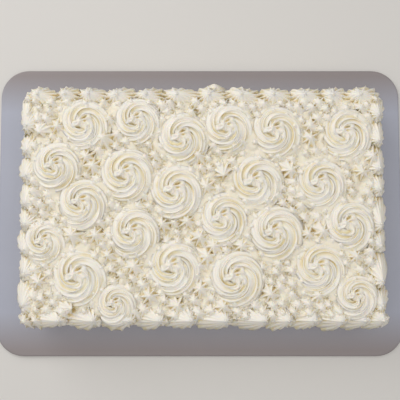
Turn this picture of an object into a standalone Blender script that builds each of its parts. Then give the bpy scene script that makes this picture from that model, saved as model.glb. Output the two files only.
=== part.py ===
"""A sheet cake covered with piped buttercream, on its cake board.

Metres, +Z up. The origin is under the middle of the board, on the surface that the board lies on. +X runs
along the cake's length and +Y towards its back edge.
"""

import math
import random

import bmesh
import bpy
from mathutils import Vector

MM = 0.001
SEED = 23
GAP = 0.3 * MM  # left between pieces that touch

BOARD_LENGTH = 483 * MM
BOARD_WIDTH = 343 * MM
BOARD_THICKNESS = 5 * MM
BOARD_CORNER = 33 * MM
BOARD_CORNER_STEPS = 6

CAKE_LENGTH = 400 * MM
CAKE_WIDTH = 260 * MM
CAKE_HEIGHT = 52 * MM
CAKE_CENTRE = Vector((2 * MM, 1 * MM))
CAKE_CORNER = 15 * MM  # rounding of the upright corners
CAKE_SHOULDER = 5 * MM  # rounding of the top edge
CAKE_BOTTOM = BOARD_THICKNESS + GAP
CAKE_TOP = CAKE_BOTTOM + CAKE_HEIGHT

# Centre x, centre y and radius of each swirl in millimetres, in rows from the back edge to the front.
SWIRLS_MM = (
    (-130, 94, 25), (-72, 95, 23), (-21, 79, 26), (29, 91, 26), (83, 83, 26), (159, 81, 26),
    (-160, 47, 26), (-84, 41, 26.5), (-28, 20, 27), (60, 30, 27), (131, 29, 25.5),
    (-131, 6, 27), (24, -10, 26), (162, -17, 26),
    (-171, -36, 21.5), (-74, -26, 25), (78, -29, 27),
    (-134, -73, 28.5), (-30, -63, 27), (38, -75, 27), (129, -65, 27),
    (-94, -101, 20), (168, -95, 21.5),
)
SWIRL_HEIGHT = 19 * MM
SWIRL_HEIGHT_SPREAD = 1.5 * MM
SWIRL_TURNS = 1.65  # from the middle to the rim, so the rope's pitch is the radius over this
SWIRL_TAIL_ANGLE = math.radians(215)  # where the rope ends, seen from above
SWIRL_TAIL_SPREAD = math.radians(16)
SWIRL_SPOKES = 16
ROPE_SECTION = (0.70, 0.97, 0.86, 1.0)  # height across one turn: deep groove, rib, shallow groove, rib
MIDDLE_HEIGHT = 0.9  # of the middle point, as a share of the swirl's height
RIM_HEIGHT = 0.38  # of the widest line
DOME = 0.42  # how much lower the rope lies at the rim than in the middle
MELD = 0.14  # share of the pitch within which the rope melts into the middle or the rim
RIM_TAPER = 0.12  # how far the rim draws in where the rope ends
TAPER_FROM = 0.8  # the share of the last turn after which the rope thins out
FOOT_INSET = 1.5 * MM

# Peaks of the larger star drops between the swirls, in millimetres.
STARS_MM = (
    (-178, 84), (-157, 91), (-100, 100), (-107, 78), (-125, 57), (-118, 47), (-2, 59), (26, 36), (7, 24),
    (122, 78), (100, 42), (190, 58), (178, 40), (-140, -29), (-114, -29), (-100, -51), (-72, -63),
    (-175, -80), (-138, -108), (-14, -14), (-41, -17), (0, -31), (15, -41), (8, -52), (45, -41),
    (-55, -95), (0, -87), (-24, -105), (26, -106), (76, -93), (129, -94), (170, -52), (134, -25), (118, -28),
)
STAR_LARGEST = 9.5 * MM
STAR_SMALLEST = 3.2 * MM
STAR_SLENDERNESS = 0.95  # height over radius
STAR_RIBS = 5
STAR_GROOVE = 0.66  # radius in a groove over the radius on a rib
STAR_SUNK = 1.2 * MM
STAR_PROFILE = ((0.28, 0.93), (0.62, 0.52))  # up the drop: share of its height, share of its radius
STAR_SPREAD = 0.75  # how much of both radii lies between the peaks of two star drops
SMALL_STARS = 36
SMALL_STAR_LARGEST = 7 * MM
SMALL_STAR_STEP = 7 * MM
SMALL_STAR_SHIFT = 0.3  # unevenness of the small drops' places, as a share of the step

# Where each shell of the border ends, in millimetres along its edge from the origin. The shells of the front
# run to the right, those of the sides to the front and those of the back to the left.
FRONT_TIPS_MM = (-153, -116, -77, -43, -10, 28, 69, 96, 125, 154, 179, 205)
LEFT_TIPS_MM = (89, 62, 34, 4, -19, -47, -73, -107)
RIGHT_TIPS_MM = (103, 74, 43, 20, -19, -42, -81, -107)
BACK_TIPS_MM = (166, 138, 105, 69, 34, -2, -38, -71, -104, -134, -158, -192)
SHELL_RADIUS = 12.5 * MM
SHELL_SLIMMEST = 0.9  # of the slimmest shell's radius over the fullest one's
SHELL_INSET = 7.5 * MM  # from the cake's side in to the shells' middle line
SHELL_OVERLAP = 5 * MM  # how far a shell's head covers the tip before it
SHELL_SIDES = 10
SHELL_GROOVE = 0.80  # radius in a groove over the radius on a rib
SHELL_LIFT = 4 * MM  # rise of the middle line at the tip
SHELL_PROFILE = ((0.06, 0.70), (0.32, 1.0), (0.74, 0.62))  # along the shell, radius share
CORNER_REACH = 4 * MM  # the front and back rows go past the cake's sides by this
SIDE_ROW_CLEARANCE = 1 * MM
SWIRL_CLEARANCE = 1.5 * GAP
COLUMN_SIDES = 16
COLUMN_HEIGHT = 40 * MM

SILVER = (0.47, 0.46, 0.49)
IVORY = (0.86, 0.80, 0.68)


def finish(name, colour, roughness, metallic=0.0):
    material = bpy.data.materials.new(name)
    material.use_nodes = True
    shader = material.node_tree.nodes["Principled BSDF"]
    shader.inputs["Base Color"].default_value = (*colour, 1)
    shader.inputs["Roughness"].default_value = roughness
    shader.inputs["Metallic"].default_value = metallic
    return material


def add_object(name, bm, material, collection):
    """Turns the bmesh into an object of this name, with its faces pointing out."""
    bmesh.ops.recalc_face_normals(bm, faces=bm.faces)
    mesh = bpy.data.meshes.new(name)
    bm.to_mesh(mesh)
    bm.free()
    obj = bpy.data.objects.new(name, mesh)
    obj.data.materials.append(material)
    collection.objects.link(obj)
    return obj


def rounded_slab(size, upright_radius, upright_steps, top_radius=0.0, top_steps=1):
    """A box from z = 0 up, with its upright corners rounded and, where asked, its top edge too."""
    bm = bmesh.new()
    bmesh.ops.create_cube(bm, size=1)
    bmesh.ops.scale(bm, vec=size, verts=bm.verts)
    bmesh.ops.translate(bm, vec=(0, 0, size[2] / 2), verts=bm.verts)
    upright = [edge for edge in bm.edges if abs(edge.verts[0].co.z - edge.verts[1].co.z) > size[2] / 2]
    bmesh.ops.bevel(
        bm, geom=upright, offset=upright_radius, segments=upright_steps, affect="EDGES", profile=0.5
    )
    if top_radius:
        rim = [edge for edge in bm.edges if all(vert.co.z > size[2] - MM / 100 for vert in edge.verts)]
        bmesh.ops.bevel(bm, geom=rim, offset=top_radius, segments=top_steps, affect="EDGES", profile=0.5)
    return bm


def cake_slab(grown=0.0):
    """The iced block of cake without its decoration. The cutters use it grown by the gap."""
    size = (CAKE_LENGTH + 2 * grown, CAKE_WIDTH + 2 * grown, CAKE_HEIGHT + grown)
    bm = rounded_slab(size, CAKE_CORNER + grown, 4, CAKE_SHOULDER + grown, 2)
    bmesh.ops.translate(bm, vec=(*CAKE_CENTRE, CAKE_BOTTOM), verts=bm.verts)
    return bm


def loft(bm, rings, tip=None, tail=None):
    """Joins rings of the same number of points. An end closes in its point, or in one face without one."""
    rows = [[bm.verts.new(point) for point in ring] for ring in rings]
    count = len(rows[0])
    for row, following in zip(rows, rows[1:]):
        for i in range(count):
            j = (i + 1) % count
            bm.faces.new((row[i], row[j], following[j], following[i]))
    for row, pole in ((rows[0], tip), (rows[-1], tail)):
        if pole is None:
            bm.faces.new(row)
        else:
            point = bm.verts.new(pole)
            for i in range(count):
                bm.faces.new((row[i], row[(i + 1) % count], point))
    return bm


def swirl_rim(radius, around):
    """The swirl's outline. It is widest where the rope starts to thin out and narrowest just past its end."""
    if around < TAPER_FROM:
        taper = 1 - around / TAPER_FROM
    else:
        taper = (around - TAPER_FROM) / (1 - TAPER_FROM)
    return radius * (1 - RIM_TAPER * taper)


def swirl(centre, radius, height, tail_angle):
    """A rope of icing wound in a flat spiral, clockwise from the middle out.

    The grid follows the rope: a ring moves out by one pitch in one trip round the middle, so the same ring is
    a rib or a groove all along the rope. The rings end in the middle point and in the rim, and below the rim
    a foot draws in to the flat underside.
    """
    bm = bmesh.new()
    per_turn = len(ROPE_SECTION)
    pitch = radius / SWIRL_TURNS
    nearest = MELD * pitch
    start = swirl_rim(radius, 0) % pitch
    base = Vector((centre.x, centre.y, CAKE_TOP + GAP))

    def place(around, distance, z):
        angle = tail_angle - 2 * math.pi * around
        return base + Vector((distance * math.cos(angle), distance * math.sin(angle), z))

    steps = [spoke / SWIRL_SPOKES for spoke in range(SWIRL_SPOKES)]
    middle = bm.verts.new(place(0, 0, MIDDLE_HEIGHT * height))
    rim = [bm.verts.new(place(s, swirl_rim(radius, s), RIM_HEIGHT * height)) for s in steps]
    foot = [bm.verts.new(place(s, swirl_rim(radius, s) - FOOT_INSET, 0)) for s in steps]
    inner = {}

    def corner(ring, spoke):
        if spoke == SWIRL_SPOKES:
            ring, spoke = ring + per_turn, 0
        around = steps[spoke]
        distance = start + pitch * (ring / per_turn - 1 + around)
        if distance < nearest:
            return middle
        if distance > swirl_rim(radius, around) - nearest:
            return rim[spoke]
        if (ring, spoke) not in inner:
            dome = 1 - DOME * (distance / radius) ** 2
            z = height * dome * ROPE_SECTION[ring % per_turn]
            inner[ring, spoke] = bm.verts.new(place(around, distance, z))
        return inner[ring, spoke]

    for ring in range(-per_turn, math.ceil((SWIRL_TURNS + 1) * per_turn)):
        for spoke in range(SWIRL_SPOKES):
            near, far = spoke, spoke + 1
            found = corner(ring, near), corner(ring + 1, near), corner(ring + 1, far), corner(ring, far)
            distinct = list(dict.fromkeys(found))
            if len(distinct) > 2:
                bm.faces.new(distinct)
    for spoke in range(SWIRL_SPOKES):
        following = (spoke + 1) % SWIRL_SPOKES
        bm.faces.new((rim[spoke], rim[following], foot[following], foot[spoke]))
    bm.faces.new(foot)
    return bm


def star_drop(centre, radius, turn):
    """A ribbed drop with a pointed peak: rings with ribs and grooves by turns, narrowing to the tip."""
    height = radius * STAR_SLENDERNESS
    peak = Vector((centre.x, centre.y, CAKE_TOP + height))
    levels = [(-STAR_SUNK, 1.0), *((up * height, share) for up, share in STAR_PROFILE)]
    rings = []
    for z, share in levels:
        ring = []
        for i in range(2 * STAR_RIBS):
            reach = radius * share * (1.0 if i % 2 == 0 else STAR_GROOVE)
            angle = turn + math.pi * i / STAR_RIBS
            ring.append(peak + Vector((reach * math.cos(angle), reach * math.sin(angle), z - height)))
        rings.append(ring)
    return loft(bmesh.new(), rings, tail=peak)


def shell(head, tip, radius):
    """A ribbed shell: a full round head that narrows to a pointed tip, along the line from head to tip."""
    along = tip - head
    side = Vector((-along.y, along.x, 0)).normalized()
    rings = []
    for share, width in SHELL_PROFILE:
        middle = head + along * share + Vector((0, 0, SHELL_LIFT * share * share))
        ring = []
        for i in range(SHELL_SIDES):
            angle = 2 * math.pi * i / SHELL_SIDES
            reach = radius * width * (1.0 if i % 2 == 0 else SHELL_GROOVE)
            ring.append(middle + side * (reach * math.cos(angle)) + Vector((0, 0, reach * math.sin(angle))))
        rings.append(ring)
    return loft(bmesh.new(), rings, tip=head, tail=tip + Vector((0, 0, SHELL_LIFT)))


def boolean(obj, collection, operation):
    """Applies one Boolean with all of the collection's objects and then removes them."""
    modifier = obj.modifiers.new(operation.lower(), "BOOLEAN")
    modifier.operation = operation
    modifier.operand_type = "COLLECTION"
    modifier.collection = collection
    modifier.solver = "EXACT"
    graph = bpy.context.evaluated_depsgraph_get()
    result = bpy.data.meshes.new_from_object(obj.evaluated_get(graph))
    obj.modifiers.clear()
    obj.data = result
    for other in list(collection.objects):
        bpy.data.objects.remove(other)


def keep_largest_body(obj):
    """Drops the loose scraps that a cut leaves."""
    bm = bmesh.new()
    bm.from_mesh(obj.data)
    bodies, left = [], set(bm.verts)
    while left:
        body, frontier = set(), [next(iter(left))]
        while frontier:
            vert = frontier.pop()
            if vert not in body:
                body.add(vert)
                frontier.extend(edge.other_vert(vert) for edge in vert.link_edges)
        left -= body
        bodies.append(body)
    largest = max(bodies, key=len)
    bmesh.ops.delete(bm, geom=[vert for vert in bm.verts if vert not in largest], context="VERTS")
    bm.to_mesh(obj.data)
    bm.free()


def swirl_places():
    """Centre and radius of each swirl, with the radii of neighbours reduced until they keep a gap."""
    places = [[Vector((x * MM, y * MM)), r * MM] for x, y, r in SWIRLS_MM]
    for i, first in enumerate(places):
        for second in places[i + 1 :]:
            shared = (first[0] - second[0]).length - 2 * GAP
            if first[1] + second[1] > shared:
                scale = shared / (first[1] + second[1])
                first[1] *= scale
                second[1] *= scale
    return places


def room_at(point, swirls):
    """How large a star drop at this point can be before it meets a swirl or the border."""
    from_swirls = min((point - centre).length - radius for centre, radius in swirls)
    offset = point - CAKE_CENTRE
    border = SHELL_INSET + SHELL_RADIUS
    from_border = min(CAKE_LENGTH / 2 - abs(offset.x), CAKE_WIDTH / 2 - abs(offset.y)) - border
    return min(from_swirls, from_border) - GAP


def star_places(swirls, rng):
    """The larger star drops where they are listed, then small ones in the widest gaps that are left."""
    places = []
    for x, y in STARS_MM:
        point = Vector((x * MM, y * MM))
        radius = min(room_at(point, swirls), STAR_LARGEST)
        if radius > STAR_SMALLEST:
            places.append((point, radius))
    candidates = []
    across = int(CAKE_LENGTH / 2 / SMALL_STAR_STEP)
    deep = int(CAKE_WIDTH / 2 / SMALL_STAR_STEP)
    for i in range(-across, across + 1):
        for j in range(-deep, deep + 1):
            shift = Vector((rng.uniform(-1, 1), rng.uniform(-1, 1))) * SMALL_STAR_SHIFT
            point = CAKE_CENTRE + (Vector((i, j)) + shift) * SMALL_STAR_STEP
            candidates.append((min(room_at(point, swirls), SMALL_STAR_LARGEST), point))
    candidates.sort(key=lambda candidate: -candidate[0])
    wanted = len(places) + SMALL_STARS
    for radius, point in candidates:
        clear = all((point - other).length > STAR_SPREAD * (radius + size) for other, size in places)
        if clear and radius > STAR_SMALLEST and len(places) < wanted:
            places.append((point, radius))
    return places


def border_rows():
    """The four rows of shells: name, first head and tips along the row, its axis and its place across."""
    left = CAKE_CENTRE.x - CAKE_LENGTH / 2
    right = CAKE_CENTRE.x + CAKE_LENGTH / 2
    front = CAKE_CENTRE.y - CAKE_WIDTH / 2 + SHELL_INSET
    back = CAKE_CENTRE.y + CAKE_WIDTH / 2 - SHELL_INSET
    side_start = back - SHELL_RADIUS - SIDE_ROW_CLEARANCE

    def stations(start, tips):
        return [start, *(tip * MM for tip in tips)]

    return (
        ("border_front", stations(left - CORNER_REACH, FRONT_TIPS_MM), "x", front),
        ("border_back", stations(right + CORNER_REACH, BACK_TIPS_MM), "x", back),
        ("border_left", stations(side_start, LEFT_TIPS_MM), "y", left + SHELL_INSET),
        ("border_right", stations(side_start, RIGHT_TIPS_MM), "y", right - SHELL_INSET),
    )


def column_round(centre, radius):
    """An upright column over the cake, as a cutter that keeps a shell clear of a swirl."""
    bm = bmesh.new()
    sizes = {"radius1": radius, "radius2": radius, "depth": COLUMN_HEIGHT}
    bmesh.ops.create_cone(bm, cap_ends=True, segments=COLUMN_SIDES, **sizes)
    bmesh.ops.translate(bm, vec=(centre.x, centre.y, CAKE_TOP + COLUMN_HEIGHT / 2 - MM), verts=bm.verts)
    return bm


def build_row(name, stations, axis, line, swirls, material, collection, helpers, rng):
    """One row of shells fused into one piece, cut clear of the cake and of the swirls beside it."""
    way = math.copysign(1, stations[1] - stations[0])

    def on_line(at):
        return Vector((at, line, CAKE_TOP) if axis == "x" else (line, at, CAKE_TOP))

    pieces = []
    for start, end in zip(stations, stations[1:]):
        head = start if start == stations[0] else start - way * SHELL_OVERLAP
        pieces.append(shell(on_line(head), on_line(end), SHELL_RADIUS * rng.uniform(SHELL_SLIMMEST, 1)))
    row = add_object(name, pieces[0], material, collection)
    for bm in pieces[1:]:
        add_object(name + "_shell", bm, material, helpers)
    boolean(row, helpers, "UNION")
    add_object("clear_of_cake", cake_slab(GAP), material, helpers)
    for centre, radius in swirls:
        add_object("clear_of_swirl", column_round(centre, radius + SWIRL_CLEARANCE), material, helpers)
    boolean(row, helpers, "DIFFERENCE")
    keep_largest_body(row)
    return row


def main():
    for obj in list(bpy.data.objects):
        bpy.data.objects.remove(obj)
    collection = bpy.data.collections.new("sheet_cake")
    helpers = bpy.data.collections.new("cutters")
    bpy.context.scene.collection.children.link(collection)
    bpy.context.scene.collection.children.link(helpers)
    rng = random.Random(SEED)

    board = rounded_slab((BOARD_LENGTH, BOARD_WIDTH, BOARD_THICKNESS), BOARD_CORNER, BOARD_CORNER_STEPS)
    add_object("board", board, finish("silver board", SILVER, 0.4, 0.3), collection)

    swirls = swirl_places()
    base_icing = finish("base icing", IVORY, 0.5)
    cake = add_object("cake", cake_slab(), base_icing, collection)
    for point, radius in star_places(swirls, rng):
        add_object("star_drop", star_drop(point, radius, rng.uniform(0, math.tau)), base_icing, helpers)
    boolean(cake, helpers, "UNION")

    piped_swirl = finish("piped swirl", IVORY, 0.45)
    for number, (centre, radius) in enumerate(swirls, 1):
        height = SWIRL_HEIGHT + rng.uniform(-1, 1) * SWIRL_HEIGHT_SPREAD
        tail_angle = SWIRL_TAIL_ANGLE + rng.uniform(-1, 1) * SWIRL_TAIL_SPREAD
        bm = swirl(centre, radius, height, tail_angle)
        add_object(f"rosette_{number:02d}", bm, piped_swirl, collection)

    piped_border = finish("piped border", IVORY, 0.45)
    for name, stations, axis, line in border_rows():
        build_row(name, stations, axis, line, swirls, piped_border, collection, helpers, rng)


main()
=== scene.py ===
"""Looks of the sheet cake: ivory buttercream piped over a smooth base coat, on a silver foil board.

Metres, +Z up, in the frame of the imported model. Every new surface is a grid of points worked out as whole
arrays: rings one after another, with the sides of the section round each ring.
"""

import math

import bpy
import numpy as np
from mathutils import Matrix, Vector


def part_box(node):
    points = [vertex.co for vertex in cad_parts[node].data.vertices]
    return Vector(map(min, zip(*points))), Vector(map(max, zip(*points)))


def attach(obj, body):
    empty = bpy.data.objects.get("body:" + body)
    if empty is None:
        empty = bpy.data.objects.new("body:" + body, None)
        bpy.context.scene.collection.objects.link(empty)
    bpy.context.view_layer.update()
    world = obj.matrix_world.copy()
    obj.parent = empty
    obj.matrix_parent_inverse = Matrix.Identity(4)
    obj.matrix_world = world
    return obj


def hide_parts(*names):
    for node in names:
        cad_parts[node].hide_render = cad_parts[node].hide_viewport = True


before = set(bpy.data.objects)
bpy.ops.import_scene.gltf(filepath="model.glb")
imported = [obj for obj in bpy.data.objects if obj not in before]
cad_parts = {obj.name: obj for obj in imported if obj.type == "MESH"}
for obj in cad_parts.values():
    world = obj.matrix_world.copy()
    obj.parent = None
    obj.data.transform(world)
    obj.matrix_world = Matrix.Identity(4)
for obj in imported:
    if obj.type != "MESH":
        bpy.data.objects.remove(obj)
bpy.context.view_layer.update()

MM = 0.001
TURN = 2 * math.pi
SEED = 11
NEAR_ZERO = 1e-9  # keeps a division away from zero

BOARD_LOW, BOARD_HIGH = (np.array(corner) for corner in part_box("board"))
CAKE_LOW, CAKE_HIGH = (np.array(corner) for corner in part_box("cake"))
CAKE_MIDDLE = (CAKE_LOW + CAKE_HIGH) / 2
SOLIDS_GAP = 0.3 * MM  # between the base coat and the solids that stand on it
CAKE_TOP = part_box("rosette_01")[0].z - SOLIDS_GAP
CAKE_LENGTH = 400 * MM
CAKE_WIDTH = 260 * MM
CAKE_HALF = np.array((CAKE_LENGTH, CAKE_WIDTH)) / 2
SWIRLS = 23


def noise(rng, waves, shortest, longest):
    """Soft unevenness in space: a sum of sine waves of random direction, length and phase, about -1 to 1."""
    directions = rng.normal(size=(waves, 3))
    directions /= np.linalg.norm(directions, axis=1)[:, None]
    lengths = np.exp(rng.uniform(math.log(shortest), math.log(longest), waves))
    phases = rng.uniform(0, TURN, waves)
    numbers = directions * (TURN / lengths)[:, None]

    def at(points):
        return np.sin(points @ numbers.T + phases).sum(axis=-1) * math.sqrt(1 / waves)

    return at


def ribbed(angles, ribs, groove, edge=0.9):
    """Radius round a star nozzle's section: 1 on a thin rib, 1 - groove in the round valley between two.

    It is one less the groove times a power, the edge, of the unsigned sine of half the angle times the ribs.
    """
    return 1 - groove * np.abs(np.sin(ribs * angles / 2)) ** edge


def closed_rings(points):
    """Vertices, quads and triangles of tubes of closed rings, with a fan to the mean point of each end ring.

    points has the shape (tubes, rings, sides, 4): x, y, z and how far the point lies in the valley between
    two ribs, which weights its painted shade. The sides run anticlockwise seen from the last ring.
    """
    tubes, rings, sides, _ = points.shape
    index = np.arange(tubes * rings * sides).reshape(tubes, rings, sides)
    following = np.roll(index, -1, axis=2)
    quads = np.stack((index[:, :-1], following[:, :-1], following[:, 1:], index[:, 1:]), axis=-1)
    first = np.broadcast_to(index.size + np.arange(tubes)[:, None], (tubes, sides))
    fan_first = np.stack((following[:, 0], index[:, 0], first), axis=-1)
    fan_last = np.stack((index[:, -1], following[:, -1], first + tubes), axis=-1)
    ends = (points[:, 0].mean(axis=1), points[:, -1].mean(axis=1))
    vertices = np.concatenate((points.reshape(-1, 4), *ends))
    fans = np.concatenate((fan_first.reshape(-1, 3), fan_last.reshape(-1, 3)))
    return vertices, quads.reshape(-1, 4), fans


def joined(surfaces):
    """One surface from several, with the point numbers of each counted on from the one before."""
    starts = np.cumsum([0, *(len(vertices) for vertices, _, _ in surfaces)])
    vertices = np.concatenate([surface[0] for surface in surfaces])
    quads = np.concatenate([surface[1] + start for surface, start in zip(surfaces, starts)])
    triangles = np.concatenate([surface[2] + start for surface, start in zip(surfaces, starts)])
    return vertices, quads, triangles


def piece(name, surface, material, replaced=()):
    """A smooth-shaded object of this surface, riding on the cake's one body."""
    vertices, quads, triangles = surface
    mesh = bpy.data.meshes.new(name)
    mesh.from_pydata(vertices[:, :3].tolist(), [], quads.tolist() + triangles.tolist())
    mesh.polygons.foreach_set("use_smooth", np.ones(len(mesh.polygons), bool))
    mesh.materials.append(material)
    obj = bpy.data.objects.new(name, mesh)
    bpy.context.scene.collection.objects.link(obj)
    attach(obj, "root")
    if replaced:
        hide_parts(*replaced)
    return obj


def note_painted_shade(obj, depth):
    """Keeps on each point how deep it lies below what surrounds it, for the painted shade of the hollows."""
    attribute = obj.data.attributes.new("depth", "FLOAT", "POINT")
    attribute.data.foreach_set("value", np.clip(depth, 0, 1).astype(np.float32))


# The wound rope of a swirl, in units of the swirl's radius.
ROPE_RINGS = 132
ROPE_SIDES = 132
ROPE_TURNS = 1.86
ROPE_TAIL = math.radians(216)  # direction of its outer end
ROPE_PATH = 1.02  # radius of its middle line at the outer end
ROPE_PATH_POWER = 0.54
ROPE_WIDTH = 0.60  # half of its width at the outer end
ROPE_MIDDLE_WIDTH = 0.33  # half of its width in the middle of the swirl
ROPE_WIDTH_POWER = 0.7
ROPE_START = 0.06  # share of its length over which its start rounds off
ROPE_START_TIP = 0.03
ROPE_END = 1.1  # angle over which its outer end narrows
ROPE_END_CUT = 0.96
ROPE_SQUEEZE = 0.03  # unevenness of its width
ROPE_SQUEEZE_WAVES = 2.3
ROPE_FLAT = 0.60  # its height as a share of its width
ROPE_OUTER = 0.87  # width of its outer side as a share of that of its inner side
ROPE_RIBS = 11
ROPE_GROOVE = 0.34
ROPE_GROOVE_UNEVEN = 0.35
ROPE_CREST = 0.9
ROPE_UNEVEN = 0.09  # shift of the ribs, in radians, that makes some wide and some narrow
ROPE_FINE_RIBS = 2  # thin crests to each rib
ROPE_FINE_GROOVE = 0.22
ROPE_FINE_UNEVEN = 0.6
ROPE_FINE_CREST = 0.8
ROPE_SHADE_WEIGHT = 1.75  # weight of the painted shade in its grooves over that in the other grooves
ROPE_TWIST = 0.50  # turns of its section to each turn of the rope
ROPE_PHASE = 0.26
ROPE_LINE = 0.465  # height of its middle line at the outer end
ROPE_RISE = 0.06  # how much higher the line lies in the middle of the swirl
ROPE_RISE_POWER = 0.42
ROPE_DIP = 0.35  # how far the rope's start lies below that line, under the heart
ROPE_DIP_WAY = 0.28
# The heart, the middle of a swirl, in the same units.
HEART_RINGS = 40
HEART_SIDES = 84
HEART_REACH = 0.66
HEART_TOP = 0.79
HEART_FALL = 0.34
HEART_APEX = (-0.13, 0.12)  # where its ribs meet
HEART_APEX_ROUND = 0.2  # radius over which their grooves begin
HEART_RIBS = 7
HEART_GROOVE = 0.10
# weight of the painted shade in the grooves between the heart's ribs
HEART_RIB_SHADE = 0.35
HEART_PHASE = 0.86
HEART_TWIST = 2.0
# Ridges and pits of the heart: x, y, direction in degrees, half length, half width, bend and height.
HEART_STROKES = (
    (-0.39, 0.32, 60, 0.13, 0.08, 0.0, -0.30), (-0.23, -0.25, -28, 0.19, 0.09, 0.6, -0.34),
    (0.07, 0.30, 30, 0.14, 0.06, 0.0, -0.20), (0.09, 0.12, 15, 0.09, 0.04, 0.0, -0.10),
    (-0.12, 0.44, 80, 0.10, 0.05, 0.0, -0.10), (0.51, 0.13, 95, 0.24, 0.05, 0.3, -0.22),
    (0.20, -0.27, 60, 0.20, 0.05, -0.3, -0.10), (-0.35, 0.05, 0, 0.18, 0.14, 0.0, 0.12),
    (-0.10, -0.45, 5, 0.30, 0.06, 1.0, 0.12), (0.24, 0.21, -5, 0.16, 0.05, -0.8, 0.07),
    (-0.13, 0.12, 60, 0.12, 0.07, 0.0, 0.05), (-0.54, 0.10, 95, 0.30, 0.06, -0.6, 0.06),
)
STROKE_STRAY = 0.012
STROKE_HEIGHTS = (0.75, 1.2)  # least and most share of its listed height
# weight of the painted shade in the heart's pits
PIT_SHADE = 2.1
# A swirl as it is set down on the cake.
SWIRL_TOP = 0.90  # height that its node's height stands for, in units of its radius
SWIRL_ROUND = 1.24  # radius of the rope's outline in those units
SWIRL_GROWTH = 1.23  # radius of its foot, which sinks into the icing round it, over its node's
SWIRL_PRESSED = 0.9  # radius past which it leans on what lies round it
SWIRL_PRESS = 0.80
SWIRL_DROOP = 0.40  # share of its height that it loses out at its rim
SWIRL_DROOP_FROM = 0.55
SWIRL_DROOP_OVER = 0.85
SWIRL_SUNK = 0.8 * MM
LARGE_SWIRL = 25 * MM  # radius from which on the valleys have their full painted shade
SMALL_SWIRL_SHADE_POWER = 2.5
SWIRL_TURNS = (9, 9, 6, 11, 0, -5, 2, 6, -3, 12, 5, -5, 7, 15, 3, -3, 10, 9, 11, 4, -6, 2, 3)
# How far some swirls are wound off the middle of their nodes, in millimetres.
SWIRL_SHIFTS_MM = {
    2: (0.7, 2.9), 5: (-0.8, 3.6), 6: (0.9, 3.0), 8: (1.3, -2.2), 17: (2.9, 2.8), 22: (0.9, -2.7),
}


def wound_rope(rng):
    """A ribbed rope wound clockwise from the middle out, in units of the swirl's radius.

    The middle line is a flat spiral whose radius grows as a power of the way along it. It lies highest in
    the middle of the swirl, apart from the rope's very start, which dips under the heart. Round it lies the
    nozzle's star section, squeezed flat, which turns back as the rope winds, so that the ribs cross the rope
    as the arms of a swirl. The rope starts and ends round. Its grooves get painted shade, more the further
    out they lie.
    """
    way = np.linspace(0, 1, ROPE_RINGS)
    wound = TURN * ROPE_TURNS * (1 - way)
    angle = ROPE_TAIL + wound
    out = ROPE_PATH * way**ROPE_PATH_POWER
    width = ROPE_MIDDLE_WIDTH + (ROPE_WIDTH - ROPE_MIDDLE_WIDTH) * way**ROPE_WIDTH_POWER
    start = np.clip(way / ROPE_START, ROPE_START_TIP, 1)
    end = np.clip(wound / ROPE_END, 0, 1)
    width = width * np.sqrt(1 - (1 - start) ** 2) * np.sqrt(1 - ROPE_END_CUT * (1 - end) ** 2)
    width = width * (1 + ROPE_SQUEEZE * np.sin(angle * ROPE_SQUEEZE_WAVES + rng.uniform(0, TURN)))
    line = np.stack((out * np.cos(angle), out * np.sin(angle)), axis=-1)
    along = np.gradient(line, axis=0)
    along /= np.linalg.norm(along, axis=1)[:, None]
    outward = np.stack((-along[:, 1], along[:, 0]), axis=-1)
    turned = np.linspace(0, TURN, ROPE_SIDES, endpoint=False)[None, :]
    round_way = turned + ROPE_PHASE + ROPE_TWIST * angle[:, None]
    waves = np.sin(round_way * 2 + angle[:, None] + rng.uniform(0, TURN))
    groove = ROPE_GROOVE * (1 + ROPE_GROOVE_UNEVEN * waves)
    turned = turned + ROPE_UNEVEN * np.sin(3 * turned + rng.uniform(0, TURN))
    ribs = ribbed(turned, ROPE_RIBS, groove, ROPE_CREST)
    waves = np.sin(5 * turned + rng.uniform(0, TURN))
    fine_groove = ROPE_FINE_GROOVE * (1 + ROPE_FINE_UNEVEN * waves)
    fine = ribbed(turned, ROPE_RIBS * ROPE_FINE_RIBS, fine_groove, ROPE_FINE_CREST)
    reach = width[:, None] * ribs * fine
    aside = reach * np.cos(round_way)
    aside = np.where(aside > 0, aside * ROPE_OUTER, aside)
    flat = line[:, None, :] + outward[:, None, :] * aside[..., None]
    line_height = ROPE_LINE + ROPE_RISE * (1 - way) ** ROPE_RISE_POWER
    line_height -= ROPE_DIP * np.clip(1 - way / ROPE_DIP_WAY, 0, 1)
    z = line_height[:, None] + reach * np.sin(round_way) * ROPE_FLAT
    # painted shade in the rope's grooves
    valley = ROPE_SHADE_WEIGHT * ((0.5 + 0.5 * way[:, None]) * (1 - ribs * fine))[..., None]
    return np.concatenate((flat, z[..., None], valley), axis=-1)[None]


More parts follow.
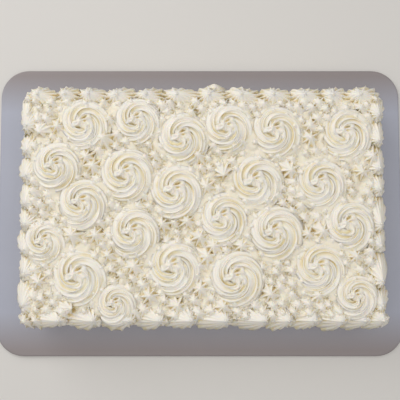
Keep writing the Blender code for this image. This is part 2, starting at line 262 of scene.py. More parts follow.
def heart(rng):
    """The middle where the nozzle starts, in the swirl's units: a low dome with ribs, ridges and deep pits.

    The dome falls with the sixth power of the way out. Its ribs run out from the apex and turn with the
    distance from it. Each stroke adds its height times a bell curve of the distance along it and of the
    distance across it, measured from a parabola, so that the stroke bends.
    """
    out = np.linspace(1, 0, HEART_RINGS)[:, None]
    round_way = np.linspace(0, TURN, HEART_SIDES, endpoint=False)
    x = HEART_REACH * out * np.cos(round_way)
    y = HEART_REACH * out * np.sin(round_way)
    apex_x, apex_y = x - HEART_APEX[0], y - HEART_APEX[1]
    from_apex = np.hypot(apex_x, apex_y)
    groove = HEART_GROOVE * np.clip(from_apex / HEART_APEX_ROUND, 0, 1)
    turned = np.arctan2(apex_y, apex_x) + HEART_TWIST * from_apex - HEART_PHASE
    ribs = ribbed(turned, HEART_RIBS, groove)
    z = HEART_TOP - HEART_FALL * out**6 - (1 - ribs)
    # painted shade in the grooves between the ribs
    pits = HEART_RIB_SHADE * (1 - ribs)
    for at_x, at_y, degrees, length, width, bend, height in HEART_STROKES:
        cos, sin = math.cos(math.radians(degrees)), math.sin(math.radians(degrees))
        from_x = x - at_x - rng.normal(0, STROKE_STRAY)
        from_y = y - at_y - rng.normal(0, STROKE_STRAY)
        along = from_x * cos + from_y * sin
        across = from_y * cos - from_x * sin - bend * along**2
        bell = np.exp(-((along / length) ** 2) - (across / width) ** 2)
        stroke = height * rng.uniform(*STROKE_HEIGHTS) * bell
        z += stroke
        # painted shade in the pits that the strokes press in
        pits += np.maximum(-stroke, 0)
    return np.stack((x, y, z, PIT_SHADE * pits), axis=-1)[None]


def set_down(points, centre, unit, rise, turn):
    """Points of a swirl from its own units to its place on the cake.

    Past SWIRL_PRESSED the radius is drawn in by a hyperbolic tangent, where the swirl leans on what lies
    round it. The height falls off with the square of the way out to the rim, and the foot is flat, a little
    below the cake's top. The grooves of a small swirl are shallow, so their painted shade is a power of its
    size.
    """
    radius = np.hypot(points[..., 0], points[..., 1])
    past = np.maximum(radius - SWIRL_PRESSED, 0)
    pressed = np.minimum(radius, SWIRL_PRESSED) + SWIRL_PRESS * np.tanh(past / SWIRL_PRESS)
    share = pressed / np.maximum(radius, NEAR_ZERO) * unit
    cos, sin = math.cos(turn), math.sin(turn)
    x = centre[0] + (points[..., 0] * cos - points[..., 1] * sin) * share
    y = centre[1] + (points[..., 0] * sin + points[..., 1] * cos) * share
    droop = 1 - SWIRL_DROOP * np.clip((pressed - SWIRL_DROOP_FROM) / SWIRL_DROOP_OVER, 0, 1) ** 2
    z = CAKE_TOP + np.maximum(points[..., 2] * rise * droop, -SWIRL_SUNK)
    # share of the painted shade that a swirl of this size keeps in its grooves
    shade_share = min(1, unit / LARGE_SWIRL) ** SMALL_SWIRL_SHADE_POWER
    return np.stack((x, y, z, points[..., 3] * shade_share), axis=-1)


def swirls(rng):
    """Name, surface and replaced node of each swirl, in the place and size of its node."""
    made = []
    for number in range(1, SWIRLS + 1):
        node = f"rosette_{number:02d}"
        low, high = (np.array(corner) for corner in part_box(node))
        unit = (high - low)[:2].mean() / 2 * SWIRL_GROWTH / SWIRL_ROUND
        rise = (high[2] - CAKE_TOP) / SWIRL_TOP
        turn = math.radians(SWIRL_TURNS[number - 1])
        shift = np.array((*SWIRL_SHIFTS_MM.get(number, (0, 0)), 0)) * MM
        place = ((low + high) / 2 + shift, unit, rise, turn)
        parts = [closed_rings(set_down(points, *place)) for points in (wound_rope(rng), heart(rng))]
        made.append((f"swirl_{number:02d}", joined(parts), node))
    return made


# Tips of the shells along each edge, in millimetres from the middle of the cake.
FRONT_TIPS = (-153, -116, -77, -43, -10, 28, 69, 96, 125, 154, 179, 199)
LEFT_TIPS = (89, 62, 34, 4, -19, -47, -73, -107)
RIGHT_TIPS = (103, 74, 43, 20, -19, -42, -81, -107)
BACK_TIPS = (166, 138, 105, 69, 34, -2, -38, -71, -104, -134, -158, -192)
SHELL_HEIGHT = 14.5 * MM
SHELL_HEIGHTS = (0.85, 1.1)  # least and most share of it
SHELL_SIZES = (0.93, 1.07)
SHELL_REACH = (15 * MM, 25 * MM)  # least and most reach of its foot along the row
SHELL_FOOT_BACK = 0.45  # how far its foot lies behind its listed tip, as a share of the gap between two tips
SHELL_TURN = 0.08
SHELL_SUNK = 2 * MM
SHELL_RIBS = 14
SHELL_GRID = (9, 30)  # sides to each rib, and rings
SHELL_FORM = 0.6
SHELL_FOOT = 0.2  # share of the grooves' depth left at the foot
# weight of the painted shade in the shells' grooves
SHELL_SHADE_WEIGHT = 0.8
TIP_STAR = 8.5 * MM
TIP_SIZES = (0.8, 1.1)
TIP_RISE = 2.5 * MM
TIP_RIBS = 7
TIP_GRID = (6, 13)
TIP_GROOVE = 0.5
TIP_FORM = 1.2
PIPED_BULGE = 0.2  # how far a lump bulges low down
PIPED_POINT = 0.012  # share of its foot's radius left at its peak
PIPED_BEND = 1.4  # power of the way up that moves its rings towards its peak
PIPED_LEAN = 0.3  # most that its ribs turn on their way up, in radians
PIPED_DEEPEST = 0.6
PIPED_GROOVE_UNEVEN = 0.3
PIPED_UNEVEN = 0.08
PIPED_CREST = 0.75


def piped(feet, peaks, reach, low, high, ribs, groove, foot, form, turns, grid, rng):
    """Pointed ribbed lumps of icing: rings that narrow from the foot to a drawn-out peak.

    reach is the foot's radius in x and y. Each ring is moved from the foot's middle towards the peak, where
    the ribs meet, by a power of the way up. The radius falls as the rest of the way up to the power form,
    and bulges low down by half a sine wave. The grooves keep the share foot of their depth at the foot and
    the peak, and are deepest about a third of the way up. grid is the sides to each rib, and the rings.
    """
    count = len(feet)
    sides_of_rib, rings = grid
    way = np.linspace(0, 1, rings)[None, :]
    profile = (1 - way) ** form * (1 + PIPED_BULGE * np.sin(math.pi * way)) + PIPED_POINT
    middle = feet[:, None, :] + (peaks - feet)[:, None, :] * way[..., None] ** PIPED_BEND
    turned = np.linspace(0, TURN, sides_of_rib * ribs, endpoint=False)
    lean = rng.uniform(-PIPED_LEAN, PIPED_LEAN, (count, 1, 1))
    round_way = turned + turns[:, None, None] + lean * way[..., None]
    depth = groove * (foot + (1 - foot) * np.sin(math.pi * way[..., None] ** PIPED_DEEPEST))
    depth = depth * (1 + PIPED_GROOVE_UNEVEN * np.sin(2 * round_way))
    uneven = 1 + PIPED_UNEVEN * np.sin(3 * round_way + rng.uniform(0, TURN, (count, 1, 1)))
    crest = ribbed(turned, ribs, depth, PIPED_CREST)
    share = profile[..., None] * crest * uneven
    x = middle[..., 0, None] + reach[:, 0, None, None] * share * np.cos(round_way)
    y = middle[..., 1, None] + reach[:, 1, None, None] * share * np.sin(round_way)
    z = np.broadcast_to((low + (high[:, None] - low) * way)[..., None], x.shape)
    return np.stack((x, y, z, 1 - crest), axis=-1)


def border(rng):
    """Name, surface and replaced node of each row of shells along the cake's top edge.

    A shell's foot lies behind its tip, where its ribs meet and a small star sits. Past the lip line the
    shell bends down the cake's side by a slope.
    """
    # Name, its tips, its axis, its side, how far in its lip lies, the slope past the lip, how far the foot
    # reaches past the lip and across, the tip's lean, the grooves' depth and the foot's reach along the row.
    # The lean and the last reach are shares of the gap between the tips.
    rows = (
        ("front", FRONT_TIPS, 0, -1, 7 * MM, 1.1, 13 * MM, 18 * MM, 0.45, 0.42, 0.60),
        ("back", BACK_TIPS, 0, 1, 4 * MM, 0.2, 12 * MM, 15 * MM, 0.10, 0.36, 0.68),
        ("left", LEFT_TIPS, 1, -1, 6 * MM, 0.9, 13 * MM, 16 * MM, 0.40, 0.38, 0.68),
        ("right", RIGHT_TIPS, 1, 1, 4 * MM, 1.0, 12 * MM, 15 * MM, 0.40, 0.36, 0.62),
    )
    made = []
    for name, tips_mm, axis, side, inset, slope, beyond, across, lean, groove, share in rows:
        ends = np.array(tips_mm) * MM
        count = len(ends)
        way = math.copysign(1, ends[-1] - ends[0])
        corner = CAKE_MIDDLE[axis] - way * CAKE_HALF[axis]
        gaps = np.abs(np.diff(np.concatenate(([corner], ends))))
        lip = CAKE_MIDDLE[1 - axis] + side * (CAKE_HALF[1 - axis] - inset)
        tips = np.full((count, 2), lip)
        tips[:, axis] = ends
        tips[:, axis] -= way * (SHELL_FOOT_BACK - lean) * gaps
        feet = tips.copy()
        feet[:, axis] -= way * lean * gaps
        feet[:, 1 - axis] -= side * (across - beyond)
        reach = np.full((count, 2), across)
        reach[:, axis] = np.clip(share * gaps, *SHELL_REACH)
        reach *= rng.uniform(*SHELL_SIZES, (count, 2))
        high = CAKE_TOP + SHELL_HEIGHT * rng.uniform(*SHELL_HEIGHTS, count)
        back = math.atan2(-way, 0) if axis else math.atan2(0, -way)
        turns = back + rng.uniform(-SHELL_TURN, SHELL_TURN, count)
        low = CAKE_TOP - SHELL_SUNK
        ribs = (SHELL_RIBS, groove, SHELL_FOOT, SHELL_FORM)
        row = piped(feet, tips, reach, low, high, *ribs, turns, SHELL_GRID, rng)
        # painted shade in the shells' grooves
        row[..., 3] *= SHELL_SHADE_WEIGHT
        reach = np.full((count, 2), TIP_STAR) * rng.uniform(*TIP_SIZES, (count, 1))
        low, turns = CAKE_TOP + SHELL_HEIGHT / 2, rng.uniform(0, TURN, count)
        ribs = (TIP_RIBS, TIP_GROOVE, SHELL_FOOT, TIP_FORM)
        stars = piped(tips, tips, reach, low, high + TIP_RISE, *ribs, turns, TIP_GRID, rng)
        for points in (row, stars):
            points[..., 2] -= slope * np.maximum(side * (points[..., 1 - axis] - lip), 0)
        surface = joined((closed_rings(row), closed_rings(stars)))
        made.append((f"shells_{name}", surface, f"border_{name}"))
    return made


# Peak of each larger star drop, x and y, and how far its foot lies from it, x and y, in millimetres.
STARS_MM = (
    (-178, 84, 6, 12), (-157, 91, 0, 0), (-100, 100, 0, -4), (-107, 78, 0, 0), (-125, 57, -2, 2),
    (-118, 47, 0, 0), (-2, 59, 0, 0), (26, 36, -2, 13), (7, 24, 0, 2), (122, 78, 0, 0), (100, 42, -3, 4),
    (190, 58, 0, 0), (178, 40, 0, 3), (-140, -29, 0, 0), (-114, -29, 0, 0), (-100, -51, 0, 0),
    (-72, -63, 0, 0), (-175, -80, -3, 3), (-138, -108, -15, 1), (-14, -14, 0, 0), (-41, -17, 0, 0),
    (0, -31, 0, 0), (15, -41, 0, 0), (8, -52, -2, 0), (45, -41, 2, 2), (-55, -95, 0, 0), (0, -87, 0, 0),
    (-24, -105, -4, 0), (26, -106, -3, 0), (76, -93, 0, 2), (129, -94, -3, 0), (170, -52, 0, 0),
    (134, -25, 0, 0), (118, -28, 0, 0), (16, 142, 0, -17),
)
STAR_RIBS = 8
STAR_GROOVE = 0.50
STAR_FOOT = 0.45  # share of the grooves' depth left at the foot
STAR_FORM = 0.78
STAR_RADIUS = 19 * MM
SMALL_STAR_RADIUS = 14 * MM
STAR_SIZES = (0.78, 1.15)  # least and most share of the radius
STAR_HEIGHT = 17 * MM
SMALL_STAR_HEIGHT = 14.6 * MM
STAR_HEIGHT_UNEVEN_MM = 1.5
STAR_STRAY = 2 * MM  # how far a small star's peak strays from the middle of its foot
STAR_SPACING = 9.4 * MM
STAR_ROOM = 12.5 * MM  # from a small star's peak to that of a listed one
STAR_ROOM_AT_SWIRL = -2 * MM  # from its peak to the round of a swirl's node
STAR_TRIES = 12000
# weight of the painted shade in the drops' grooves
STAR_SHADE_WEIGHT = 1.4
STAR_GRID = (6, 13)  # sides to each rib, and rings
SMALL_STAR_GRID = (3, 7)
STAR_SUNK = 1.2 * MM
EDGE_INSET = 7 * MM  # from the cake's side in to the line where the drops bend over the edge
SIDE_ROOM = 12 * MM  # from the cake's side in to the outermost peaks
CORNER_DROPS = np.array(((6, 7), (19, 6), (6, 20), (18, 18))) * MM  # in from the corner of the cake
CORNER_DROP_SIZE = 0.8


def star_fill(rng, swirl_rounds):
    """Feet, peaks, radii and heights of the drops: the listed larger ones, then others in the gaps.

    Four fill each corner. Each further drop is tried at random and kept where it stays clear of the other
    peaks and of the swirls.
    """
    centres = np.array([centre for centre, _ in swirl_rounds])
    rounds = np.array([radius for _, radius in swirl_rounds])
    peaks = np.array([star[:2] for star in STARS_MM]) * MM
    feet = peaks + np.array([star[2:] for star in STARS_MM]) * MM
    listed = len(feet)
    signs = np.array(((1, 1), (-1, 1), (-1, -1), (1, -1)))
    corners = (CAKE_MIDDLE[:2] + signs[:, None, :] * (CAKE_HALF - CORNER_DROPS)).reshape(-1, 2)
    feet = np.vstack((feet, corners))
    peaks = np.vstack((peaks, corners + rng.normal(0, STAR_STRAY, corners.shape)))
    tries = CAKE_MIDDLE[:2] + rng.uniform(-1, 1, (STAR_TRIES, 2)) * (CAKE_HALF - SIDE_ROOM)
    for place in tries:
        room = (np.linalg.norm(centres - place, axis=1) - rounds).min()
        gaps = np.linalg.norm(peaks - place, axis=1)
        apart = min(gaps[:listed].min() - STAR_ROOM, gaps.min() - STAR_SPACING)
        if room > STAR_ROOM_AT_SWIRL and apart > 0:
            peaks = np.vstack((peaks, place))
            feet = np.vstack((feet, place + rng.normal(0, STAR_STRAY, 2)))
    large = np.arange(len(feet)) < listed
    radii = np.where(large, STAR_RADIUS, SMALL_STAR_RADIUS) * rng.uniform(*STAR_SIZES, len(feet))
    radii[listed : listed + len(corners)] *= CORNER_DROP_SIZE
    uneven = rng.uniform(-STAR_HEIGHT_UNEVEN_MM, STAR_HEIGHT_UNEVEN_MM, len(feet)) * MM
    heights = np.where(large, STAR_HEIGHT, SMALL_STAR_HEIGHT) + uneven
    return feet, peaks, radii, heights


def star_drops(feet, peaks, radii, heights, grid, rng):
    """Surface of some of the star drops, each turned at random and bent down over the cake's edge."""
    reach = np.stack((radii, radii), axis=-1)
    turns = rng.uniform(0, TURN, len(feet))
    low, high = CAKE_TOP - STAR_SUNK, CAKE_TOP + heights
    ribs = (STAR_RIBS, STAR_GROOVE, STAR_FOOT, STAR_FORM)
    points = piped(feet, peaks, reach, low, high, *ribs, turns, grid, rng)
    # painted shade in the drops' grooves
    points[..., 3] *= STAR_SHADE_WEIGHT
    beyond = np.abs(points[..., :2] - CAKE_MIDDLE[:2]) - CAKE_HALF + EDGE_INSET
    points[..., 2] -= np.maximum(beyond, 0).sum(axis=-1)
    return closed_rings(points)


CORNER_POINTS = 12  # along each quarter circle of an outline


def outline(half, corner):
    """A rectangle with round corners as a closed line: four quarter circles, anticlockwise from +X."""
    angles = (np.arange(4)[:, None] + np.linspace(0, 1, CORNER_POINTS)) * math.pi / 2
    quarter = angles[:, :1] + math.pi / 4
    middles = np.stack((np.sign(np.cos(quarter)), np.sign(np.sin(quarter))), axis=-1)
    middles = middles * (half[:2] - corner)
    arcs = middles + corner * np.stack((np.cos(angles), np.sin(angles)), axis=-1)
    return arcs.reshape(-1, 2)


def along_outline(points, step):
    """The closed line with points added at even steps on its straight stretches."""
    ends = np.roll(points, -1, axis=0)
    gaps = np.linalg.norm(ends - points, axis=1)
    pieces = np.maximum(np.ceil(gaps / step).astype(int), 1)
    start = np.repeat(np.arange(len(points)), pieces)
    share = np.concatenate([np.arange(count) / count for count in pieces])
    return points[start] + (ends - points)[start] * share[:, None]


def slab(middle, half, corner, profile, step):
    """A slab whose profile, pairs of distance in from the outline and height, is carried round the outline.

    Each ring is the outline moved in along its normals. It always lies less far in than the corner's radius.
    """
    plan = along_outline(outline(half, corner), step)
    normal = np.roll(plan, -1, axis=0) - np.roll(plan, 1, axis=0)
    normal = np.stack((normal[:, 1], -normal[:, 0]), axis=-1)
    normal /= np.linalg.norm(normal, axis=1)[:, None]
    rings = []
    for inset, z in profile:
        flat = plan - normal * inset
        rings.append(np.concatenate((flat + middle[:2], np.full((len(plan), 1), z)), axis=1))
    return np.array(rings)


COAT_CORNER = 15 * MM
COAT_SHOULDER = 9 * MM
COAT_SHOULDER_RINGS = 8
COAT_SIDE_RINGS = 12
COAT_TOP_RINGS = 76
COAT_INNERMOST = 0.02  # size of the innermost ring, as a share of the top's
COAT_STEP = 2.4 * MM
COAT_STRETCH = np.array((0.35, 0.35, 1.6))  # long level waves, as the spatula leaves them
COAT_SIDE_WAVES = 0.45 * MM
COAT_TOP_WAVES = 0.4 * MM
SIDE_SHADE_OFF = -20  # a valley far below zero, which keeps the sides free of the hollows' painted shade
BED_INSET = 5 * MM  # from the cake's side in to where the bed of icing between the swirls begins
BED_SLOPE = 7 * MM  # width over which it rises to its full height
BED_RISE = 7.2 * MM
BED_UNEVEN = 0.3
BED_RIDGES = 1.2 * MM
BED_LIMIT = 12 * MM
RIM_SHARE = 1.08  # radius of the bed's rim round a swirl over that of the swirl's node
RIM_RISE = 4.5 * MM
RIM_SPREAD = 4.5 * MM


def icing_coat(rng, swirl_rounds):
    """The base coat: a slab with a round shoulder, its sides left a little wavy by the spatula.

    Inside the border its top rises to a lumpy bed, the icing that the drops have been pressed into, with
    sharp ridges where a soft unevenness passes through zero. It rises further, by a bell curve of the
    distance, to the rim of each swirl.
    """
    turn = np.linspace(0, math.pi / 2, COAT_SHOULDER_RINGS)[1:]
    below = CAKE_TOP - COAT_SHOULDER
    sides = [(0.0, z) for z in np.linspace(CAKE_LOW[2], below, COAT_SIDE_RINGS)]
    over = [(COAT_SHOULDER * (1 - math.cos(a)), below + COAT_SHOULDER * math.sin(a)) for a in turn]
    rings = slab(CAKE_MIDDLE, CAKE_HALF, COAT_CORNER, [*sides, *over], COAT_STEP)
    shares = np.linspace(1, COAT_INNERMOST, COAT_TOP_RINGS)[1:, None, None]
    centre = np.array((CAKE_MIDDLE[0], CAKE_MIDDLE[1], CAKE_TOP))
    top = centre + (rings[-1] - centre) * shares
    points = np.concatenate((rings, top))
    uneven = noise(rng, waves=24, shortest=18 * MM, longest=70 * MM)
    ridged = noise(np.random.default_rng(SEED + 1), waves=12, shortest=6 * MM, longest=12 * MM)
    wave = uneven(points * COAT_STRETCH)
    outward = points - centre
    outward[..., 2] = 0
    outward /= np.linalg.norm(outward, axis=-1, keepdims=True) + NEAR_ZERO
    on_side = np.clip((CAKE_TOP - points[..., 2]) / COAT_SHOULDER, 0, 1)[..., None]
    points = points - outward * on_side * (COAT_SIDE_WAVES * (1 + wave[..., None]) / 2)
    points[..., 2] += (1 - on_side[..., 0]) * COAT_TOP_WAVES * (wave - 1)
    inside = CAKE_HALF - np.abs(points[..., :2] - centre[:2])
    bed = np.clip((inside.min(axis=-1) - BED_INSET) / BED_SLOPE, 0, 1)
    points[..., 2] += bed * BED_RISE * (1 + BED_UNEVEN * uneven(points * 2))
    points[..., 2] += bed * BED_RIDGES * (1 - 2 * np.minimum(np.abs(ridged(points)), 1))
    for middle, radius in swirl_rounds:
        from_rim = np.linalg.norm(points[..., :2] - middle, axis=-1) - radius * RIM_SHARE
        points[..., 2] += bed * RIM_RISE * np.exp(-((from_rim / RIM_SPREAD) ** 2))
    points[..., 2] = np.minimum(points[..., 2], CAKE_TOP + BED_LIMIT)
    return closed_rings(np.concatenate((points, SIDE_SHADE_OFF * on_side), axis=-1)[None])


BOARD_CORNER = 33 * MM
BOARD_EDGE = 1.6 * MM  # radius of its rounded edge
BOARD_EDGE_RINGS = 6
BOARD_RINGS = np.linspace(3 * MM, 30 * MM, 8)  # how far in the rings on its top lie
BOARD_STEP = 6 * MM


def foil_board():
    """The board: a thin slab with a rounded edge and a flat underside, and no valley on any point."""
    half = (BOARD_HIGH - BOARD_LOW) / 2
    thick = BOARD_HIGH[2] - BOARD_LOW[2]
    turn = np.linspace(0, math.pi / 2, BOARD_EDGE_RINGS)
    lower = [(BOARD_EDGE * (1 - math.sin(a)), BOARD_EDGE * (1 - math.cos(a))) for a in turn]
    upper = [(BOARD_EDGE * (1 - math.cos(a)), thick - BOARD_EDGE + BOARD_EDGE * math.sin(a)) for a in turn]
    inner = [(inset, thick) for inset in BOARD_RINGS]
    profile = [*lower, *upper, *inner]
    rings = slab((BOARD_LOW + BOARD_HIGH) / 2, half, BOARD_CORNER, profile, BOARD_STEP)
    valleys = np.zeros(rings.shape[:-1] + (1,))
    return closed_rings(np.concatenate((rings, valleys), axis=-1)[None])


MAP_HALF = np.array((230, 160))  # half of the height map's cells, a millimetre each, in x and y
MAP_FLOOR = CAKE_TOP - 12 * MM  # height of a cell that no point falls in
# The depth below measures the painted shade of hollows, beige when shallow and amber when deep.
# Levels that the depth of a hollow is measured from: the radius, in cells, that the height map is blurred
# over, and the depth that counts as one.
LEVELS = ((1, 6.0 * MM), (3, 11.0 * MM))
LEVEL_START = 0.2  # taken off the sum of the depths
VALLEY_SHADE_WEIGHT = 1.1  # weight of the valley noted on a point in the painted shade
SHALLOW_DEPTH = 0.45  # depth where the beige painted shade gives way to amber
EDGE_FADE = 4 * MM  # height above the cake's top over which the amber painted shade fades in


def cells_under(points):
    """Column and row of the height map that each point lies over."""
    origin = CAKE_MIDDLE[:2] - MAP_HALF * MM
    cells = ((points[:, :2] - origin) / MM).astype(int)
    return tuple(np.clip(cells, 0, 2 * MAP_HALF - 1).T)


def height_map(surfaces):
    """Highest point of the surfaces over each square millimetre of the cake.

    A cell that no point falls in takes the highest of its four neighbours.
    """
    grid = np.full(2 * MAP_HALF, MAP_FLOOR)
    for vertices, _, _ in surfaces:
        np.maximum.at(grid, cells_under(vertices), vertices[:, 2])
    nearby = np.max([np.roll(grid, step, axis) for step in (-1, 1) for axis in (0, 1)], axis=0)
    return np.where(grid > MAP_FLOOR, grid, nearby)


def blurred(grid, radius, rounds=3):
    """The grid averaged over a square of this radius, several times, by running sums."""
    for _ in range(rounds):
        for axis in (0, 1):
            width = [(0, 0), (0, 0)]
            width[axis] = (radius + 1, radius)
            total = np.cumsum(np.pad(grid, width, mode="edge"), axis=axis)
            count = 2 * radius + 1
            size = total.shape[axis]
            high = np.take(total, np.arange(count, size), axis=axis)
            low = np.take(total, np.arange(0, size - count), axis=axis)
            grid = (high - low) / count
    return grid


def painted_shade_depth(surface, levels):
    """How deep each point lies, for the painted shade: 0 where it is ivory, 1 in the deepest gaps.

    It is the sum of how far the point lies below each blurred height map, as a share of that level's depth,
    and of its valley. Near the cake's top, at the foot of the drops, it stays too shallow for amber.
    """
    vertices = surface[0]
    cells = cells_under(vertices)
    height, valley = vertices[:, 2], vertices[:, 3]
    hollow = sum((level[cells] - height) / span for level, span in levels)
    on_top = np.clip((height - CAKE_TOP) / EDGE_FADE, 0, 1)
    limit = SHALLOW_DEPTH + (1 - SHALLOW_DEPTH) * on_top
    return np.minimum(hollow + VALLEY_SHADE_WEIGHT * valley - LEVEL_START, limit)


def step_between(tree, value, low, high):
    """Output that rises from 0 to 1 while the value goes from low to high."""
    step = tree.nodes.new("ShaderNodeMapRange")
    step.inputs["From Min"].default_value = low
    step.inputs["From Max"].default_value = high
    tree.links.new(value, step.inputs["Value"])
    return step.outputs["Result"]


def range_over(tree, value, low, high):
    """Output that goes from low to high while the value goes from 0 to 1."""
    span = tree.nodes.new("ShaderNodeMapRange")
    span.inputs["To Min"].default_value = low
    span.inputs["To Max"].default_value = high
    tree.links.new(value, span.inputs["Value"])
    return span.outputs["Result"]


def clouds(tree, place, scale=1, detail=3):
    """Noise texture over these coordinates."""
    texture = tree.nodes.new("ShaderNodeTexNoise")
    texture.inputs["Scale"].default_value = scale
    texture.inputs["Detail"].default_value = detail
    tree.links.new(place, texture.inputs["Vector"])
    return texture


def bump(tree, height, strength, distance):
    """Bump node over this height."""
    node = tree.nodes.new("ShaderNodeBump")
    node.inputs["Strength"].default_value = strength
    node.inputs["Distance"].default_value = distance
    tree.links.new(height, node.inputs["Height"])
    return node


def colour_mix(tree, factor):
    """Mix of two colours by this factor."""
    mix = tree.nodes.new("ShaderNodeMix")
    mix.data_type = "RGBA"
    tree.links.new(factor, mix.inputs["Factor"])
    return mix


def new_material(name):
    """A material with nodes, and its shader."""
    material = bpy.data.materials.new(name)
    material.use_nodes = True
    return material, material.node_tree.nodes["Principled BSDF"]


SKIN_INPUTS = (("Ivory", "Color"), ("Beige", "Color"), ("Amber", "Color"), ("Grain", "Float"))
SKIN_OUTPUTS = (("Colour", "Color"), ("Roughness", "Float"), ("Height", "Float"))
SKIN_PATCHES = 90  # scale of its uneven tone and gloss
SKIN_BLOTCHES = 0.12  # how much of the patches is added to the depth
SKIN_GLOSS = (0.36, 0.54)  # least and most roughness


def cream_painted_shade():
    """Node group: ivory that turns beige in shallow grooves and amber in deep gaps as painted shade, with
    uneven gloss.
    """
    group = bpy.data.node_groups.new("cream_painted_shade", "ShaderNodeTree")
    for side, sockets in (("INPUT", SKIN_INPUTS), ("OUTPUT", SKIN_OUTPUTS)):
        for name, kind in sockets:
            group.interface.new_socket(name, in_out=side, socket_type=f"NodeSocket{kind}")
    nodes, links = group.nodes, group.links
    given = nodes.new("NodeGroupInput")
    result = nodes.new("NodeGroupOutput")
    place = nodes.new("ShaderNodeTexCoord").outputs["Object"]
    depth = nodes.new("ShaderNodeAttribute")
    depth.attribute_name = "depth"
    patches = clouds(group, place, SKIN_PATCHES, detail=4).outputs["Fac"]
    fine = clouds(group, place)
    links.new(given.outputs["Grain"], fine.inputs["Scale"])
    blotch = nodes.new("ShaderNodeMath")
    blotch.operation = "MULTIPLY_ADD"
    blotch.use_clamp = True
    blotch.inputs[1].default_value = SKIN_BLOTCHES
    links.new(patches, blotch.inputs[0])
    links.new(depth.outputs["Fac"], blotch.inputs[2])
    # Painted shade: beige in shallow grooves, then amber in the deepest gaps, by the noted depth.
    shallow = colour_mix(group, step_between(group, blotch.outputs["Value"], 0.0, SHALLOW_DEPTH))
    links.new(given.outputs["Ivory"], shallow.inputs["A"])
    links.new(given.outputs["Beige"], shallow.inputs["B"])
    deep = colour_mix(group, step_between(group, blotch.outputs["Value"], SHALLOW_DEPTH, 1.0))
    links.new(shallow.outputs["Result"], deep.inputs["A"])
    links.new(given.outputs["Amber"], deep.inputs["B"])
    links.new(deep.outputs["Result"], result.inputs["Colour"])
    links.new(range_over(group, patches, *SKIN_GLOSS), result.inputs["Roughness"])
    links.new(fine.outputs["Fac"], result.inputs["Height"])
    return group


IVORY = (0.95, 0.90, 0.83, 1)
SMOOTHED_IVORY = (0.90, 0.84, 0.71, 1)
# Painted shade colours: beige for shallow grooves, amber for deep gaps and hollows.
BEIGE_SHADE = (0.88, 0.795, 0.57, 1)
AMBER_SHADE = (0.79, 0.64, 0.33, 1)
CREAM_SHEERNESS = 0.4
CREAM_SCATTER = (1.0, 0.85, 0.6)  # how far red, green and blue light spread, as shares of the scale
CREAM_SCATTER_SCALE = 1.4 * MM
CREAM_RELIEF = 0.4 * MM
MARKS_STRETCH = (12, 12, 260)  # waves to a metre along the sides and up them
MARKS_STRENGTH = 0.7
MARKS_RELIEF = 0.8 * MM


def cream(name, skin, ivory, grain, relief):
    """Buttercream: soft and satin, a little see-through, with the skin's tone, painted shade and relief."""
    material, shader = new_material(name)
    tree = material.node_tree
    shader.inputs["Subsurface Weight"].default_value = CREAM_SHEERNESS
    shader.inputs["Subsurface Radius"].default_value = CREAM_SCATTER
    shader.inputs["Subsurface Scale"].default_value = CREAM_SCATTER_SCALE
    shader.inputs["Specular IOR Level"].default_value = 0.5
    surface = tree.nodes.new("ShaderNodeGroup")
    surface.node_tree = skin
    for socket, value in (("Ivory", ivory), ("Beige", BEIGE_SHADE), ("Amber", AMBER_SHADE), ("Grain", grain)):
        surface.inputs[socket].default_value = value
    raised = bump(tree, surface.outputs["Height"], relief, CREAM_RELIEF)
    raised.name = "relief"
    tree.links.new(surface.outputs["Colour"], shader.inputs["Base Color"])
    tree.links.new(surface.outputs["Roughness"], shader.inputs["Roughness"])
    tree.links.new(raised.outputs["Normal"], shader.inputs["Normal"])
    return material


def spatula_marks(material):
    """Adds the long level streaks that a spatula leaves to a buttercream's relief."""
    tree = material.node_tree
    place = tree.nodes.new("ShaderNodeTexCoord")
    drawn = tree.nodes.new("ShaderNodeMapping")
    drawn.inputs["Scale"].default_value = MARKS_STRETCH
    tree.links.new(place.outputs["Object"], drawn.inputs["Vector"])
    streaks = clouds(tree, drawn.outputs["Vector"])
    marks = bump(tree, streaks.outputs["Fac"], MARKS_STRENGTH, MARKS_RELIEF)
    tree.links.new(marks.outputs["Normal"], tree.nodes["relief"].inputs["Normal"])


# Silver tones with a cool blue cast that is a painted reflection of bluish skylight.
FOIL_DARK = (0.385, 0.40, 0.475, 1)
FOIL_LIGHT = (0.445, 0.46, 0.535, 1)
FOIL_EDGE_SHADE = (0.30, 0.265, 0.265, 1)  # painted shade and warm painted reflection towards the front and back edges
FOIL_UNSHADED_HALF = 120 * MM  # half of the width without the painted shade
FOIL_FULL_SHADE_HALF = 165 * MM  # half of the width past which the painted shade is whole
FOIL_GLOSS = (0.48, 0.60)  # least and most roughness


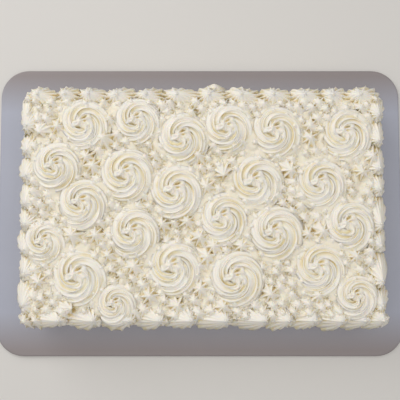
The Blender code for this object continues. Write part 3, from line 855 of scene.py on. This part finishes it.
def foil():
    """Silver foil paper: satin metal with a cool cast that is a painted reflection of bluish skylight,
    gentle waves, a fine uneven gloss, and painted shade and warm reflection towards the front and back
    edges.
    """
    material, shader = new_material("silver_foil")
    tree = material.node_tree
    nodes, links = tree.nodes, tree.links
    shader.inputs["Metallic"].default_value = 0.2
    shader.inputs["Specular IOR Level"].default_value = 0.4
    place = nodes.new("ShaderNodeTexCoord").outputs["Object"]
    waves = clouds(tree, place, scale=9, detail=2).outputs["Fac"]
    fine = clouds(tree, place, scale=900, detail=2).outputs["Fac"]
    tone = nodes.new("ShaderNodeValToRGB")
    tone.color_ramp.elements[0].color = FOIL_DARK
    tone.color_ramp.elements[1].color = FOIL_LIGHT
    links.new(waves, tone.inputs["Fac"])
    axes = nodes.new("ShaderNodeSeparateXYZ")
    links.new(place, axes.inputs["Vector"])
    aside = nodes.new("ShaderNodeMath")
    aside.operation = "ABSOLUTE"
    links.new(axes.outputs["Y"], aside.inputs[0])
    # painted shade and warm reflection, darker towards the front and back edges
    edge = step_between(tree, aside.outputs["Value"], FOIL_UNSHADED_HALF, FOIL_FULL_SHADE_HALF)
    edge_shaded = colour_mix(tree, edge)
    edge_shaded.inputs["B"].default_value = FOIL_EDGE_SHADE
    links.new(tone.outputs["Color"], edge_shaded.inputs["A"])
    links.new(edge_shaded.outputs["Result"], shader.inputs["Base Color"])
    links.new(range_over(tree, fine, *FOIL_GLOSS), shader.inputs["Roughness"])
    raised = bump(tree, waves, strength=0.15, distance=0.5 * MM)
    links.new(raised.outputs["Normal"], shader.inputs["Normal"])
    return material


FLOOR_REACH = 3.0
FLOOR_COLOUR = (0.72, 0.70, 0.67, 1)
WORLD_COLOUR = (0.98, 0.955, 0.93, 1)
WORLD_STRENGTH = 0.347
# Name, place, what it points at, side and power of each light.
LIGHTS = (
    ("key", (-1.05, 1.0, 0.95), (0, 0, 0.05), 1.2, 9.7),
    ("softbox", (0, 0, 1.7), (0, 0, 0), 2.4, 17.6),
)
CAMERA_PLACE = (0, -0.0368, 0.738)
CAMERA_AIM = 0.0508  # how far towards the back edge it aims from the point below it
CAMERA_LENS = 55
CAMERA_SENSOR = 36


def aim_at(direction):
    """Euler angles that turn -Z to this direction, with no roll."""
    x, y, z = direction
    return (math.atan2(math.hypot(x, y), -z), 0, math.atan2(y, x) - math.pi / 2)


def floor():
    """Plain pale floor, part of the stage."""
    mesh = bpy.data.meshes.new("floor")
    corners = [(x * FLOOR_REACH, y * FLOOR_REACH, 0) for x, y in ((-1, -1), (1, -1), (1, 1), (-1, 1))]
    mesh.from_pydata(corners, [], [(0, 1, 2, 3)])
    ground = bpy.data.objects.new("floor", mesh)
    material, shader = new_material("pale_floor")
    shader.inputs["Base Color"].default_value = FLOOR_COLOUR
    shader.inputs["Roughness"].default_value = 0.8
    mesh.materials.append(material)
    bpy.context.scene.collection.objects.link(ground)


def studio():
    """Soft even light from all round, a key light from above the back left corner and a soft light above."""
    world = bpy.data.worlds.new("studio")
    world.use_nodes = True
    background = world.node_tree.nodes["Background"]
    background.inputs["Color"].default_value = WORLD_COLOUR
    background.inputs["Strength"].default_value = WORLD_STRENGTH
    bpy.context.scene.world = world
    for name, place, aim, size, power in LIGHTS:
        light = bpy.data.lights.new(name, "AREA")
        light.size = size
        light.energy = power
        lamp = bpy.data.objects.new(name, light)
        lamp.location = place
        lamp.rotation_euler = aim_at(np.array(aim) - np.array(place))
        bpy.context.scene.collection.objects.link(lamp)


def camera():
    """The camera, high above the cake and a little towards its front edge."""
    bpy.context.scene.view_settings.view_transform = "Standard"
    lens = bpy.data.cameras.new("camera")
    lens.lens = CAMERA_LENS
    lens.sensor_width = CAMERA_SENSOR
    holder = bpy.data.objects.new("camera", lens)
    holder.location = CAMERA_PLACE
    holder.rotation_euler = (math.atan2(CAMERA_AIM, CAMERA_PLACE[2]), 0, 0)
    bpy.context.scene.collection.objects.link(holder)
    bpy.context.scene.camera = holder


def node_rounds(nodes):
    """Middle and radius of each of these nodes, seen from above."""
    rounds = []
    for node in nodes:
        low, high = (np.array(corner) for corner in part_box(node))
        rounds.append((((low + high) / 2)[:2], (high - low)[:2].mean() / 2))
    return rounds


def main():
    """Makes the icing's surfaces, whose random draws follow one another, then every piece and the stage."""
    rng = np.random.default_rng(SEED)
    ropes = swirls(rng)
    rows = border(rng)
    rounds = node_rounds(node for _, _, node in ropes)
    coat = icing_coat(rng, rounds)
    stars = star_fill(rng, rounds)
    listed = len(STARS_MM)
    large = star_drops(*(values[:listed] for values in stars), STAR_GRID, rng)
    small = star_drops(*(values[listed:] for values in stars), SMALL_STAR_GRID, rng)

    skin = cream_painted_shade()
    piped_cream = cream("piped_buttercream", skin, IVORY, grain=700, relief=0.25)
    smoothed_cream = cream("smoothed_buttercream", skin, SMOOTHED_IVORY, grain=420, relief=0.4)
    spatula_marks(smoothed_cream)

    # Name, surface, material, slot and replaced nodes of each piece of icing.
    icing = [
        ("icing_coat", coat, smoothed_cream, "base_icing", ("cake",)),
        ("large_star_drops", large, piped_cream, "buttercream", ()),
        ("small_star_drops", small, piped_cream, "buttercream", ()),
    ]
    for name, surface, node in [*rows, *ropes]:
        icing.append((name, surface, piped_cream, "buttercream", (node,)))
    tops = height_map([surface for _, surface, _, _, _ in icing])
    levels = [(blurred(tops, radius), span) for radius, span in LEVELS]
    for name, surface, material, slot, replaced in icing:
        obj = piece(name, surface, material, replaced)
        # painted shade: how deep each point lies in a hollow, for the beige and amber tint
        note_painted_shade(obj, painted_shade_depth(surface, levels))
    piece("foil_board", foil_board(), foil(), ("board",))

    floor()
    studio()
    camera()


main()
